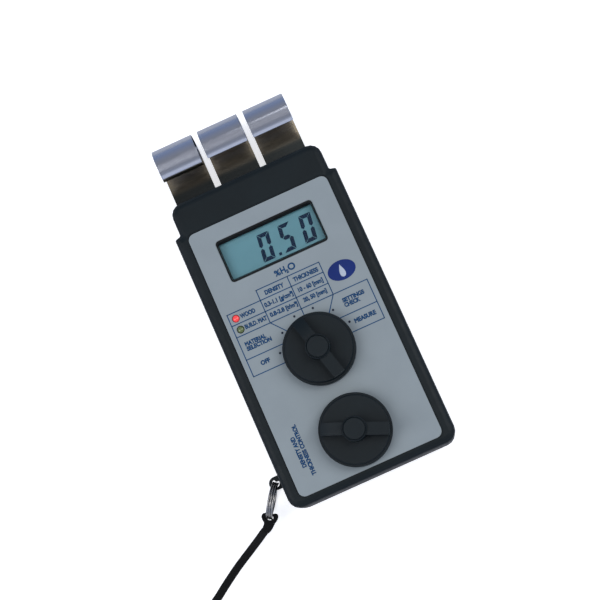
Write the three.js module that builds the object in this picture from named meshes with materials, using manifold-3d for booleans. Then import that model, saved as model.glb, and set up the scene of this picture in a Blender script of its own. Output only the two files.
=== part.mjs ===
// A pin-free moisture meter for wood and screed, as an assembly of its real pieces.
// Millimetres. +X is the meter's right, +Y points to the electrodes, +Z comes out of the
// front face, and the origin is in the middle of the rear face, which lies on z = 0.
import * as THREE from 'three';
import { mergeVertices } from 'three/addons/utils/BufferGeometryUtils.js';
import Module from 'manifold-3d';

const wasm = await Module();
wasm.setup();

// ---------------------------------------------------------------- driving dimensions
const gap = 0.3; // clearance between pieces that touch or pass
const hair = 0.1; // clearance under a glued or clamped sheet

const caseWidth = 80;
const caseLength = 148.2;
const caseDepth = 30;
const wall = 2.2; // side, end and rear walls
const frontWall = 2.4;
const partingHeight = 14; // where the two shells meet
const edgeRadius = 3; // rounding of the front and rear edges
const cornerRadius = 5.7; // corners at the bottom end
const headInset = 3; // the head is this much narrower on each side
const headLength = 14; // from the shoulder to the top end
const headCornerRadius = 5.4;
const shoulderRadius = 1;
const lipWidth = 1;
const lipHeight = 2; // tongue of the rear shell inside the front shell

const labelSideMargin = 5.75; // from the case's sides and ends to the label
const labelBottomMargin = 3.9;
const labelTopMargin = 16.1;
const labelCornerRadius = 3;
const labelThickness = 0.4;
const labelRecess = 0.6;
const labelGroove = 0.5; // open gap round the label

const windowWidth = 47.4;
const windowHeight = 20.2;
const windowFromTop = 34; // from the top end to the window's middle
const windowCornerRadius = 1.6;
const bezelSide = 1; // widths of the bezel's sloping borders
const bezelEnd = 1.55;
const pane = 1;
const lcdBorder = [1.7, 5.15]; // of the display beyond its window, across and along
const lcdThickness = 2.6;
const elastomerWidth = 2;
const holderWall = 1.5;

const boardThickness = 1.6;
const boardTop = 18.8;
const boardMargin = 5.5; // from the case's side to the board
const chipSizes = [[14, 12], [10, 10]];

const knobDiameter = 32.6;
const knobWall = 1.9;
const knobDeck = 5.7; // from the knob's lower rim to its flat deck
const knobHeight = 12.8;
const knobFloat = 0.7; // from the label's face to the knob's rim
const ridgeWidth = 5.6;
const ridgeDrop = 0.9; // from the cap's top to the ridge's top
const bossRadius = 5.5;
const facetLength = 5.6; // slope at the pointer's end
const facetDrop = 3.6;
const capRadius = 4.9;
const shaftRadius = 3;
const bushingRadius = 4.5;
const selectorFromTop = 87.7; // from the top end to the selector's axis
const knobSpacing = 6.5; // between the two knobs' rims
const selectorPointer = 105; // degrees from +X
const densityPointer = 157;

const lampRadius = 1.5;
const lampX = -28.7;
const lampFromTop = [59.5, 64.9];

const electrodeWidth = 20;
const electrodeSpacing = 3.05; // between neighbouring strips
const electrodeShift = -1.4; // the row sits a little to the left
const electrodeThickness = 0.5;
const electrodeReach = 30.2; // beyond the top end
const rollRadius = 9; // to the middle of the strip
const rollEnd = 132; // degrees round the roll at its free edge
const electrodeHeight = 8; // of the flat legs
const electrodeRoot = 11.2; // length held inside the case
const pivotDepth = 9; // from the top end to the line the strips flex about
const lipLengths = [1.8, 0, 0]; // the left strip's free edge is turned down
const slotDown = 1.6;
const slotUp = 1.2;
const clampWidth = 8;
const clampThickness = 3.3;
const clampSideGap = 1.55; // from the case's side wall to the clamp

const batterySize = [46.4, 26.5, 17.5];
const terminalHeight = 2;
const snapThickness = 3;
const doorWidth = 54;
const doorThickness = 2.2;
const tongueWidth = 1.9;
const tongueThickness = 1;
const railThickness = 1.5;

const screwRadius = 1.3;
const screwHeadRadius = 2.8;
const caseScrewFromSide = 6.5;
const caseScrewFromBottom = 9;
const caseScrewFromTop = 21;
const bossWall = 2;
const boardScrewRadius = 1;
const boardScrewFromSide = 8.5;

const lugRadius = 3;
const lugThickness = 3;
const lugHole = 1.9;
const lugReach = 3.7; // from the side wall to the hole
const lugFromBottom = 15.7;
const lugHeight = 8.9;
const ringRadius = 7.9; // to the middle of the wire
const ringWire = 1.4;
const ringWidth = 2.9; // two turns of wire side by side
const ringHeading = -124; // degrees from +X, the way the ring points from its lug

const strapWidth = 3.7;
const strapThickness = 1.6;
const coilInner = 13;
const coilOuter = 24.4;
const coilBase = 0.7; // clearance under the coil for its tie
const coilCentre = [-113, -120];
const tieWidth = 3;
const tieWall = 0.3;
const stopperRadius = 3;
const stopperLength = 9;

// ---------------------------------------------------------------- worked-out places
const top = caseLength / 2;
const bottom = -caseLength / 2;
const side = caseWidth / 2;
const headWidth = caseWidth - 2 * headInset;
const frontInside = caseDepth - frontWall;
const labelFloor = caseDepth - labelRecess;
const labelFace = labelFloor + hair + labelThickness;
const labelWidth = caseWidth - 2 * labelSideMargin;
const labelLength = caseLength - labelBottomMargin - labelTopMargin;
const labelMiddle = bottom + labelBottomMargin + labelLength / 2;
const windowY = top - windowFromTop;
const selectorY = top - selectorFromTop;
const densityY = selectorY - knobDiameter - knobSpacing;
const lipTop = partingHeight + lipHeight;
const caseScrewX = side - caseScrewFromSide;
const caseScrews = [
  [-caseScrewX, bottom + caseScrewFromBottom],
  [caseScrewX, bottom + caseScrewFromBottom],
  [-caseScrewX, top - caseScrewFromTop],
  [caseScrewX, top - caseScrewFromTop],
];
const bossOuter = screwRadius + bossWall;
const counterboreTop = 5.8;
const screwHeadHeight = 2.3;
const screwTip = 24;
const sleeveWall = 1.6; // round a sunk screw head

const paneTop = frontInside - gap;
const lcdTop = paneTop - pane - gap;
const lcdBottom = lcdTop - lcdThickness;
const lcdWidth = windowWidth + 2 * lcdBorder[0];
const lcdHeight = windowHeight + 2 * lcdBorder[1];
const holderWidth = lcdWidth + 2 * (gap + holderWall);
const holderHeight = lcdHeight + 2 * (gap + holderWall);

const batteryTop = 21.4;
const batteryBottom = batteryTop - batterySize[2];
const batteryY = bottom + wall + lipWidth + 2 * gap + batterySize[1] / 2;
const batteryX = -1;
const partitionY = batteryY + batterySize[1] / 2 + gap;
const partitionWidth = 1.6;
const doorBottom = gap;
const doorEnd = partitionY;
const boardWidth = caseWidth - 2 * boardMargin;
const boardScrewX = side - boardScrewFromSide;
const boardBottomY = partitionY + partitionWidth + 1;
const boardTopY = windowY + holderHeight / 2 - hair;
const boardBottom = boardTop - boardThickness;
const boardScrewTip = 24.6;
const postWall = 1.4; // round a board screw
const boardScrews = [
  [-boardScrewX, boardBottomY + 4.5],
  [boardScrewX, boardBottomY + 4.5],
  [-boardScrewX, selectorY + 15.5],
  [boardScrewX, selectorY + 15.5],
];

const knobBottom = labelFace + knobFloat;
const knobTop = knobBottom + knobHeight;
const deckHeight = knobBottom + knobDeck;
const bushingTop = knobBottom + 2.4;
const nutBottom = labelFloor + gap;
const nutThickness = 1.9;
const nutAcross = 6.4; // half the width across the nut's corners
const shaftTop = knobTop - 2.8;

const pivotY = top - pivotDepth;
const rootY = top - electrodeRoot;
const rollY = top + electrodeReach - rollRadius - electrodeThickness / 2;
const electrodePitch = electrodeWidth + electrodeSpacing;
const electrodeX = [-1, 0, 1].map((i) => i * electrodePitch + electrodeShift);
const clampPad = 0.45; // clearance between a strip and what clamps it
const clampBottom = electrodeHeight + electrodeThickness / 2 + clampPad;
const blockTop = electrodeHeight - electrodeThickness / 2 - clampPad;

const lugX = -side - lugReach;
const lugY = bottom + lugFromBottom;
const heading = THREE.MathUtils.degToRad(ringHeading);
const ringX = lugX + ringRadius * Math.cos(heading);
const ringY = lugY + ringRadius * Math.sin(heading);
const tabX = lugX + 2 * ringRadius * Math.cos(heading);
const tabY = lugY + 2 * ringRadius * Math.sin(heading);

// ---------------------------------------------------------------- solids from geometry
function solid(geometry) {
  const loose = geometry.index ? geometry.toNonIndexed() : geometry.clone();
  loose.deleteAttribute('normal');
  loose.deleteAttribute('uv');
  const merged = mergeVertices(loose, 1e-4);
  const corners = merged.index.array;
  const kept = [];
  for (let i = 0; i < corners.length; i += 3) {
    const [a, b, c] = corners.slice(i, i + 3);
    if (a !== b && b !== c && c !== a) kept.push(a, b, c);
  }
  return new wasm.Manifold(new wasm.Mesh({
    numProp: 3,
    vertProperties: merged.attributes.position.array,
    triVerts: new Uint32Array(kept),
  }));
}

function geometryOf(made) {
  const mesh = made.getMesh();
  const geometry = new THREE.BufferGeometry();
  geometry.setAttribute('position', new THREE.BufferAttribute(mesh.vertProperties.slice(), 3));
  geometry.setIndex(new THREE.BufferAttribute(mesh.triVerts.slice(), 1));
  geometry.computeVertexNormals();
  return geometry;
}

const join = (...solids) => solids.reduce((a, b) => a.add(b));
const cut = (from, ...tools) => tools.reduce((a, b) => a.subtract(b), from);

function box(x0, x1, y0, y1, z0, z1) {
  const geometry = new THREE.BoxGeometry(x1 - x0, y1 - y0, z1 - z0);
  return solid(geometry.translate((x0 + x1) / 2, (y0 + y1) / 2, (z0 + z1) / 2));
}

function cylinder(radius, z0, z1, x = 0, y = 0, segments = 20) {
  const geometry = new THREE.CylinderGeometry(radius, radius, z1 - z0, segments);
  return solid(geometry.rotateX(Math.PI / 2).translate(x, y, (z0 + z1) / 2));
}

// A solid of revolution about the Z axis through (x, y), from [radius, height] points.
function turned(profile, x = 0, y = 0, segments = 32) {
  const points = profile.map(([radius, height]) => new THREE.Vector2(radius, height));
  const geometry = new THREE.LatheGeometry(points, segments);
  return solid(geometry.rotateX(Math.PI / 2).translate(x, y, 0));
}

// The points of an outline whose corners [x, y, radius] are rounded.
function rounded(corners, steps = 4) {
  return corners.flatMap(([x, y, radius], i) => {
    const [bx, by] = corners[(i + corners.length - 1) % corners.length];
    const [ax, ay] = corners[(i + 1) % corners.length];
    const corner = new THREE.Vector2(x, y);
    const back = new THREE.Vector2(bx, by).sub(corner).normalize();
    const on = new THREE.Vector2(ax, ay).sub(corner).normalize();
    const half = Math.acos(back.dot(on)) / 2;
    const middle = back.clone().add(on).normalize().multiplyScalar(radius / Math.sin(half));
    middle.add(corner);
    const from = corner.clone().addScaledVector(back, radius / Math.tan(half)).sub(middle).angle();
    const sweep = Math.sign(on.cross(back)) * (Math.PI - 2 * half);
    return Array.from({ length: steps + 1 }, (_, k) => {
      const angle = from + (sweep * k) / steps;
      return new THREE.Vector2(Math.cos(angle), Math.sin(angle)).multiplyScalar(radius).add(middle);
    });
  });
}

function roundedRectangle(width, height, radius, x = 0, y = 0, steps = 4) {
  const [w, h] = [width / 2, height / 2];
  const corners = [[w, -h, radius], [w, h, radius], [-w, h, radius], [-w, -h, radius]];
  return rounded(corners, steps).map((p) => p.add(new THREE.Vector2(x, y)));
}

function prism(points, z0, z1) {
  const geometry = new THREE.ExtrudeGeometry(new THREE.Shape(points), {
    depth: z1 - z0,
    bevelEnabled: false,
  });
  return solid(geometry.translate(0, 0, z0));
}

// A closed body through outlines that all have the same number of points.
function loft(levels) {
  const count = levels[0].points.length;
  const vertices = levels.flatMap(({ points, z }) => points.flatMap((p) => [p.x, p.y, z]));
  const faces = [];
  for (let level = 0; level + 1 < levels.length; level += 1) {
    for (let i = 0; i < count; i += 1) {
      const [a, b] = [level * count + i, level * count + ((i + 1) % count)];
      faces.push(a, b, b + count, a, b + count, a + count);
    }
  }
  const last = (levels.length - 1) * count;
  for (const [a, b, c] of THREE.ShapeUtils.triangulateShape(levels[0].points, [])) {
    faces.push(a, c, b);
  }
  for (const [a, b, c] of THREE.ShapeUtils.triangulateShape(levels.at(-1).points, [])) {
    faces.push(last + a, last + b, last + c);
  }
  const geometry = new THREE.BufferGeometry();
  geometry.setAttribute('position', new THREE.Float32BufferAttribute(vertices, 3));
  geometry.setIndex(faces);
  return solid(geometry);
}

// A section swept along a smooth curve through points.
function swept(section, points, steps) {
  const path = new THREE.CatmullRomCurve3(points.map((p) => new THREE.Vector3(...p)));
  const geometry = new THREE.ExtrudeGeometry(new THREE.Shape(section), {
    steps,
    extrudePath: path,
    bevelEnabled: false,
  });
  return solid(geometry);
}

function ovalSection(across, high, sides) {
  return Array.from({ length: sides }, (_, i) => {
    const angle = ((i + 0.5) / sides) * 2 * Math.PI;
    return new THREE.Vector2((across / 2) * Math.cos(angle), (high / 2) * Math.sin(angle));
  });
}

const wire = (radius, points, steps) => swept(ovalSection(2 * radius, 2 * radius, 8), points, steps);

// ---------------------------------------------------------------- finishes
function finish(color, roughness, metalness = 0) {
  return new THREE.MeshStandardMaterial({ color, roughness, metalness });
}

const finishes = {
  case: finish(0x20262b, 0.5),
  label: finish(0x87939d, 0.45),
  bezel: finish(0x0f1214, 0.4),
  clear: finish(0xcfd8dc, 0.05),
  lcd: finish(0x5f8d97, 0.3),
  elastomer: finish(0xd98aa0, 0.8),
  holder: finish(0xd8d8d0, 0.6),
  board: finish(0x1f6b3a, 0.5),
  chip: finish(0x15171a, 0.4),
  red: finish(0xe84545, 0.3),
  green: finish(0x5c6b3a, 0.3),
  knob: finish(0x1a1e20, 0.45),
  switch: finish(0x2d3a55, 0.5),
  steel: finish(0xb9bcc0, 0.3, 1),
  stainless: finish(0xa9adb8, 0.2, 1),
  brass: finish(0xc2a14c, 0.3, 1),
  nylon: finish(0xe2dfd2, 0.6),
  battery: finish(0x2a2f36, 0.4),
  foam: finish(0x3c3c40, 0.95),
  redWire: finish(0xb32424, 0.6),
  blackWire: finish(0x18181a, 0.6),
  greyWire: finish(0x7c8084, 0.6),
  strap: finish(0x121314, 0.9),
};

const meter = new THREE.Group();

function add(name, made, material, parent = meter) {
  const mesh = new THREE.Mesh(geometryOf(made), material);
  mesh.name = name;
  parent.add(mesh);
}

// ---------------------------------------------------------------- case
function caseOutline(inset) {
  const [w, head] = [side - inset, headWidth / 2 - inset];
  const [low, high, shoulder] = [bottom + inset, top - inset, top - headLength - inset];
  const slope = 0.8; // the shoulder falls a little towards the side
  const bottomCorner = Math.max(cornerRadius - inset, 1);
  const headCorner = Math.max(headCornerRadius - inset, 1);
  const outer = Math.max(shoulderRadius - inset / 3, 0.3);
  const inner = shoulderRadius;
  return rounded([
    [w, low, bottomCorner],
    [w, shoulder - slope, outer],
    [head, shoulder, inner],
    [head, high, headCorner],
    [-head, high, headCorner],
    [-head, shoulder, inner],
    [-w, shoulder - slope, outer],
    [-w, low, bottomCorner],
  ]);
}

// The case's outline from z0 to z1 with both edges rounded.
function caseBlock(inset, z0, z1, radius, steps) {
  const quarter = Array.from({ length: steps + 1 }, (_, k) => {
    const angle = (k / steps) * (Math.PI / 2);
    return [radius * (1 - Math.sin(angle)), radius * (1 - Math.cos(angle))];
  });
  const lower = quarter.map(([drawn, rise]) => ({ points: caseOutline(inset + drawn), z: z0 + rise }));
  const upper = quarter.map(([drawn, rise]) => ({ points: caseOutline(inset + drawn), z: z1 - rise }));
  return loft([...lower, ...upper.reverse()]);
}

const everything = 2 * (caseLength + caseWidth);
const above = (z) => box(-everything, everything, -everything, everything, z, everything);
const below = (z) => box(-everything, everything, -everything, everything, -everything, z);

const outside = caseBlock(0, 0, caseDepth, edgeRadius, 3);
const inside = caseBlock(wall, wall, frontInside, 1, 1);
const hollow = outside.subtract(inside);

function slottedHead(x, y, z) {
  const arm = 0.35;
  const reach = 1.6;
  return join(
    box(x - arm, x + arm, y - reach, y + reach, z - 1, z + 1),
    box(x - reach, x + reach, y - arm, y + arm, z - 1, z + 1),
  );
}

function frontShell() {
  const caseBosses = caseScrews.map(([x, y]) => (
    cylinder(bossOuter, lipTop + gap, frontInside + hair, x, y, 12)
  ));
  const boardPosts = boardScrews.map(([x, y]) => (
    cylinder(boardScrewRadius + postWall, boardTop + gap, frontInside + hair, x, y, 8)
  ));
  const screwHoles = caseScrews.map(([x, y]) => (
    cylinder(screwRadius + gap / 2, 0, screwTip + gap, x, y, 8)
  ));
  const postHoles = boardScrews.map(([x, y]) => (
    cylinder(boardScrewRadius + gap / 2, 0, boardScrewTip + gap, x, y, 8)
  ));
  const recess = roundedRectangle(
    labelWidth + 2 * labelGroove,
    labelLength + 2 * labelGroove,
    labelCornerRadius + labelGroove,
    0,
    labelMiddle,
  );
  const opening = roundedRectangle(
    windowWidth + 2 * gap,
    windowHeight + 2 * gap,
    windowCornerRadius + gap,
    0,
    windowY,
  );
  const [holeFrom, holeTo] = [frontInside - 5, caseDepth + 5];
  const shaftHoles = [selectorY, densityY].map((y) => (
    cylinder(bushingRadius + gap, holeFrom, holeTo, 0, y)
  ));
  const lampHoles = lampFromTop.map((down) => (
    cylinder(lampRadius + gap, holeFrom, holeTo, lampX, top - down, 16)
  ));
  return cut(
    join(hollow.intersect(above(partingHeight + gap)), ...caseBosses, ...boardPosts),
    ...screwHoles,
    ...postHoles,
    prism(recess, labelFloor, caseDepth + 1),
    prism(opening, holeFrom, holeTo),
    ...shaftHoles,
    ...lampHoles,
  );
}

function rearShell() {
  const lip = cut(
    join(
      prism(caseOutline(wall / 2), partingHeight - 3, partingHeight),
      prism(caseOutline(wall + gap), partingHeight - hair, lipTop),
    ),
    prism(caseOutline(wall + gap + lipWidth), partingHeight - 4, lipTop + 1),
  );
  const bosses = caseScrews.map(([x, y]) => cylinder(bossOuter, wall / 2, lipTop, x, y, 12));
  const holes = caseScrews.map(([x, y]) => cylinder(screwRadius + gap, -1, lipTop + 1, x, y, 8));
  const counterbores = caseScrews.map(([x, y]) => (
    cylinder(screwHeadRadius + gap, -1, counterboreTop, x, y, 12)
  ));
  const sleeves = caseScrews.map(([x, y]) => (
    cylinder(screwHeadRadius + gap + sleeveWall, wall / 2, counterboreTop + sleeveWall, x, y, 12)
  ));
  const doorHalf = doorWidth / 2;
  const railTop = doorBottom + doorThickness + gap + railThickness;
  const rails = [-1, 1].flatMap((sign) => {
    const [near, far] = [doorHalf - 0.8, doorHalf + tongueWidth + gap + 1.2].map((x) => sign * x);
    const web = sign * (doorHalf + tongueWidth + gap);
    const [x0, x1] = [Math.min(near, far), Math.max(near, far)];
    const [w0, w1] = [Math.min(web, far), Math.max(web, far)];
    return [
      box(x0, x1, bottom + wall / 2, doorEnd + hair, railTop - railThickness, railTop),
      box(w0, w1, bottom + wall / 2, doorEnd + hair, wall / 2, railTop),
    ];
  });
  const dividerTop = partingHeight - 0.4;
  const half = side - wall / 2;
  const partition = box(-half, half, partitionY, partitionY + partitionWidth, wall / 2, dividerTop);
  const stop = batteryX - batterySize[0] / 2 - gap;
  const rib = box(stop - 1.4, stop, bottom + wall / 2, partitionY + hair, railTop - 1, dividerTop);
  const doorway = join(
    box(-doorHalf - gap, doorHalf + gap, bottom - 1, doorEnd, -1, doorBottom + doorThickness + gap),
    box(
      -doorHalf - tongueWidth - gap,
      doorHalf + tongueWidth + gap,
      bottom - 1,
      doorEnd,
      doorBottom + doorThickness - tongueThickness - gap,
      doorBottom + doorThickness + gap,
    ),
  );
  const slots = electrodeX.map((x) => box(
    x - electrodeWidth / 2 - gap,
    x + electrodeWidth / 2 + gap,
    rootY - gap,
    top + 1,
    electrodeHeight - slotDown,
    electrodeHeight + slotUp,
  ));
  const lugRoot = -side + wall / 2;
  const lugTip = lugX - lugRadius;
  const lug = prism(rounded([
    [lugRoot, lugY - lugRadius - 0.05, 0.2],
    [lugRoot, lugY + lugRadius + 0.05, 0.2],
    [lugTip, lugY + lugRadius + 0.05, lugRadius],
    [lugTip, lugY - lugRadius - 0.05, lugRadius],
  ]), lugHeight - lugThickness / 2, lugHeight + lugThickness / 2);
  const eye = cylinder(lugHole, 0, caseDepth, lugX, lugY, 16);
  const shell = cut(hollow.intersect(below(partingHeight)), doorway);
  return cut(
    join(shell, lip, ...bosses, ...sleeves, ...rails, partition, rib, lug),
    ...holes,
    ...counterbores,
    ...slots,
    eye,
  );
}

function batteryDoor() {
  const half = doorWidth / 2;
  const upper = doorBottom + doorThickness;
  const tongue = half + tongueWidth - gap;
  const plate = join(
    box(-half, half, bottom, doorEnd - gap, doorBottom, upper),
    box(-tongue, tongue, bottom, doorEnd - gap, upper - tongueThickness, upper),
  );
  const [gripHalf, gripWidth, gripPitch, gripDepth] = [9, 1.1, 2.4, 0.5];
  const grips = [0, 1, 2].map((i) => {
    const y = bottom + 7 + gripPitch * i;
    return box(-gripHalf, gripHalf, y, y + gripWidth, -1, doorBottom + gripDepth);
  });
  return cut(plate.intersect(outside), ...grips);
}

function caseScrew(x, y) {
  const head = counterboreTop - gap - screwHeadHeight;
  return cut(
    join(
      cylinder(screwHeadRadius, head, counterboreTop - gap, x, y, 12),
      cylinder(screwRadius, counterboreTop - gap - hair, screwTip, x, y, 8),
    ),
    slottedHead(x, y, head),
  );
}

function boardScrew(x, y) {
  const under = boardBottom - gap;
  const headHeight = 1.6;
  const [slotHalf, slotWidth, slotDepth] = [1.4, 0.5, 0.6];
  return cut(
    join(
      cylinder(boardScrewRadius + 1, under - headHeight, under, x, y, 12),
      cylinder(boardScrewRadius, under - hair, boardScrewTip, x, y, 8),
    ),
    box(
      x - slotHalf,
      x + slotHalf,
      y - slotWidth / 2,
      y + slotWidth / 2,
      under - headHeight - 1,
      under - headHeight + slotDepth,
    ),
  );
}

add('front_shell', frontShell(), finishes.case);
add('rear_shell', rearShell(), finishes.case);
add('battery_door', batteryDoor(), finishes.case);
caseScrews.forEach(([x, y], i) => add(`case_screw_${i + 1}`, caseScrew(x, y), finishes.steel));
boardScrews.forEach(([x, y], i) => add(`board_screw_${i + 1}`, boardScrew(x, y), finishes.steel));

// ---------------------------------------------------------------- label and display
function frontLabel() {
  const sheet = roundedRectangle(labelWidth, labelLength, labelCornerRadius, 0, labelMiddle);
  const opening = roundedRectangle(
    windowWidth + gap,
    windowHeight + gap,
    windowCornerRadius + gap / 2,
    0,
    windowY,
  );
  const [z0, z1] = [labelFloor - 1, labelFace + 1];
  return cut(
    prism(sheet, labelFloor + hair, labelFace),
    prism(opening, z0, z1),
    ...[selectorY, densityY].map((y) => cylinder(nutAcross + 1.2, z0, z1, 0, y)),
    ...lampFromTop.map((down) => cylinder(lampRadius + gap, z0, z1, lampX, top - down, 16)),
  );
}

function displayFrame() {
  const outline = (share, rim = 0) => roundedRectangle(
    windowWidth - 2 * (rim + share * bezelSide),
    windowHeight - 2 * (rim + share * bezelEnd),
    Math.max(windowCornerRadius - share * bezelSide, 0.4),
    0,
    windowY,
  );
  const slope = loft([
    { points: outline(1), z: frontInside - 1 },
    { points: outline(1), z: frontInside + 0.4 },
    { points: outline(0, 0.25), z: labelFace + 1 },
  ]);
  return prism(outline(0), frontInside + hair, labelFace).subtract(slope);
}

function displayHolder() {
  const outer = roundedRectangle(holderWidth, holderHeight, 1, 0, windowY, 2);
  const inner = roundedRectangle(lcdWidth + 2 * gap, lcdHeight + 2 * gap, 0.5, 0, windowY, 2);
  return prism(outer, boardTop + gap, lcdTop).subtract(prism(inner, 0, 40));
}

function lcdBox(z0, z1) {
  const [halfWidth, halfHeight] = [lcdWidth / 2, lcdHeight / 2];
  return box(-halfWidth, halfWidth, windowY - halfHeight, windowY + halfHeight, z0, z1);
}

function elastomer(sign) {
  const y = windowY + sign * (lcdHeight / 2 - elastomerWidth);
  const half = lcdWidth / 2 - 2;
  return box(-half, half, y - elastomerWidth / 2, y + elastomerWidth / 2, boardTop + gap, lcdBottom - gap);
}

function lamp(down) {
  const y = top - down;
  const flange = 22;
  const body = turned([
    [0, flange],
    [lampRadius + 0.4, flange],
    [lampRadius + 0.4, flange + 1],
    [lampRadius, flange + 1],
    [lampRadius, labelFace - 0.5],
    [lampRadius * 0.85, labelFace + 0.2],
    [lampRadius * 0.5, labelFace + 0.6],
    [0, labelFace + 0.8],
  ], lampX, y, 12);
  const legs = [-0.8, 0.8].map((x) => (
    box(lampX + x - 0.25, lampX + x + 0.25, y - 0.25, y + 0.25, boardTop + gap, flange + hair)
  ));
  return join(body, ...legs);
}

add('front_label', frontLabel(), finishes.label);
add('display_frame', displayFrame(), finishes.bezel);
add('display_window', lcdBox(paneTop - pane, paneTop), finishes.clear);
add('display_lcd', lcdBox(lcdBottom, lcdTop), finishes.lcd);
add('display_holder', displayHolder(), finishes.holder);
add('elastomer_lower', elastomer(-1), finishes.elastomer);
add('elastomer_upper', elastomer(1), finishes.elastomer);
add('lamp_red', lamp(lampFromTop[0]), finishes.red);
add('lamp_green', lamp(lampFromTop[1]), finishes.green);

// ---------------------------------------------------------------- board
function mainBoard() {
  const clear = bossOuter + 0.8;
  const notches = caseScrews.map(([x, y]) => box(
    x < 0 ? -side : x - clear,
    x < 0 ? x + clear : side,
    y - clear,
    y + 2 * clear,
    0,
    caseDepth,
  ));
  const holes = boardScrews.map(([x, y]) => cylinder(boardScrewRadius + gap, 0, 40, x, y, 10));
  return cut(
    box(-boardWidth / 2, boardWidth / 2, boardBottomY, boardTopY, boardBottom, boardTop),
    ...notches,
    ...holes,
  );
}

function chip([width, height], x, y) {
  const upper = boardBottom - gap;
  const [thickness, standoff, pinReach] = [1.8, 0.4, 0.6];
  const [halfWidth, halfHeight] = [width / 2, height / 2];
  const pins = [-1, 1].map((sign) => {
    const middle = y + sign * (halfHeight + pinReach - hair);
    return box(x - halfWidth + 1, x + halfWidth - 1, middle - pinReach, middle + pinReach, upper - 1, upper);
  });
  const body = box(
    x - halfWidth,
    x + halfWidth,
    y - halfHeight,
    y + halfHeight,
    upper - standoff - thickness,
    upper - standoff,
  );
  return join(body, ...pins);
}

add('main_board', mainBoard(), finishes.board);
add('measuring_chip', chip(chipSizes[0], -8, windowY - 22), finishes.chip);
add('display_chip', chip(chipSizes[1], 6, windowY), finishes.chip);

// ---------------------------------------------------------------- knobs and controls
function knob() {
  const radius = knobDiameter / 2;
  const bore = capRadius - 0.3;
  const hub = bossRadius + 0.7;
  const hubBottom = bushingTop + gap + hair;
  const deckThickness = 1.7;
  const rimBevel = 0.4;
  const body = turned([
    [bore, hubBottom],
    [hub, hubBottom],
    [hub, deckHeight - deckThickness],
    [radius - knobWall, deckHeight - deckThickness],
    [radius - knobWall, knobBottom],
    [radius, knobBottom],
    [radius, deckHeight - rimBevel],
    [radius - rimBevel, deckHeight],
    [bossRadius, deckHeight],
    [bossRadius, knobTop],
    [bore, knobTop],
    [bore, hubBottom],
  ], 0, 0, 28);
  const ridgeTop = knobTop - ridgeDrop;
  const [half, reach] = [ridgeWidth / 2, radius - 1];
  const ridge = prism([
    new THREE.Vector2(-half, -reach),
    new THREE.Vector2(half, -reach),
    new THREE.Vector2(half, reach),
    new THREE.Vector2(-half, reach),
  ], deckHeight - hair, ridgeTop);
  const slope = new THREE.Shape([
    new THREE.Vector2(reach + 1, ridgeTop + 1),
    new THREE.Vector2(reach - facetLength, ridgeTop + 1),
    new THREE.Vector2(reach - facetLength, ridgeTop),
    new THREE.Vector2(reach + 1, ridgeTop - facetDrop),
  ]);
  const facet = new THREE.ExtrudeGeometry(slope, { depth: knobDiameter, bevelEnabled: false });
  facet.rotateX(Math.PI / 2).rotateZ(Math.PI / 2).translate(-knobDiameter / 2, 0, 0);
  return cut(
    join(body, ridge),
    solid(facet),
    cylinder(bore, 0, 2 * knobTop),
    cylinder(capRadius + 0.15, knobTop - 1.4, 2 * knobTop),
  );
}

const cap = () => turned([
  [0, knobTop - 2.4],
  [capRadius - 0.6, knobTop - 2.4],
  [capRadius - 0.6, knobTop - 1.1],
  [capRadius, knobTop - 1.1],
  [capRadius, knobTop - 0.2],
  [capRadius - 0.3, knobTop],
  [0, knobTop],
], 0, 0, 20);

const collet = () => turned([
  [shaftRadius + 0.15, bushingTop + 0.5],
  [capRadius - 0.5, bushingTop + 0.5],
  [capRadius - 0.5, knobTop - 3.2],
  [shaftRadius + 0.15, knobTop - 3.2],
  [shaftRadius + 0.15, bushingTop + 0.5],
], 0, 0, 24);

// A control's housing with its threaded bushing, hollow for the rotor.
function controlBody(radius, base, shell, y) {
  const bore = shaftRadius + gap;
  const ceiling = housingTop - shell.roof;
  return turned([
    [0, base],
    [radius, base],
    [radius, housingTop],
    [bushingRadius, housingTop],
    [bushingRadius, bushingTop],
    [bore, bushingTop],
    [bore, ceiling],
    [radius - shell.side, ceiling],
    [radius - shell.side, base + shell.floor],
    [0, base + shell.floor],
  ], 0, y, 24);
}

// The shaft with its wiper disc, clear of the housing all round.
function rotor(radius, base, shell) {
  const disc = radius - shell.side - gap;
  return turned([
    [0, base + shell.floor + gap],
    [disc, base + shell.floor + gap],
    [disc, housingTop - shell.roof - gap],
    [shaftRadius, housingTop - shell.roof - gap],
    [shaftRadius, shaftTop],
    [0, shaftTop],
  ], 0, 0, 24);
}

const nut = (y) => cut(
  cylinder(nutAcross, nutBottom, nutBottom + nutThickness, 0, y, 6),
  cylinder(bushingRadius + 0.15, 0, 60, 0, y),
);

function control(name, y, pointer, turnedPiece) {
  const group = new THREE.Group();
  group.position.set(0, y, 0);
  group.rotation.z = THREE.MathUtils.degToRad(pointer - 90);
  add(`${name}_knob`, knob(), finishes.knob, group);
  add(`${name}_cap`, cap(), finishes.knob, group);
  add(`${name}_collet`, collet(), finishes.brass, group);
  add(`${name}_shaft`, turnedPiece, finishes.steel, group);
  add(`${name}_nut`, nut(y), finishes.steel);
  meter.add(group);
}

const switchRadius = 11.5;
const potRadius = 8.2;
const housingTop = frontInside - gap;
const switchBottom = boardTop + gap;
const potBottom = batteryTop + 0.4;
const switchShell = { side: 1.2, floor: 1.2, roof: 2 };
const potShell = { side: 1, floor: 1, roof: 1.8 };
add('selector_switch', controlBody(switchRadius, switchBottom, switchShell, selectorY), finishes.switch);
add('density_potentiometer', controlBody(potRadius, potBottom, potShell, densityY), finishes.switch);
control('selector', selectorY, selectorPointer, rotor(switchRadius, switchBottom, switchShell));
control('density', densityY, densityPointer, rotor(potRadius, potBottom, potShell));

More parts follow.
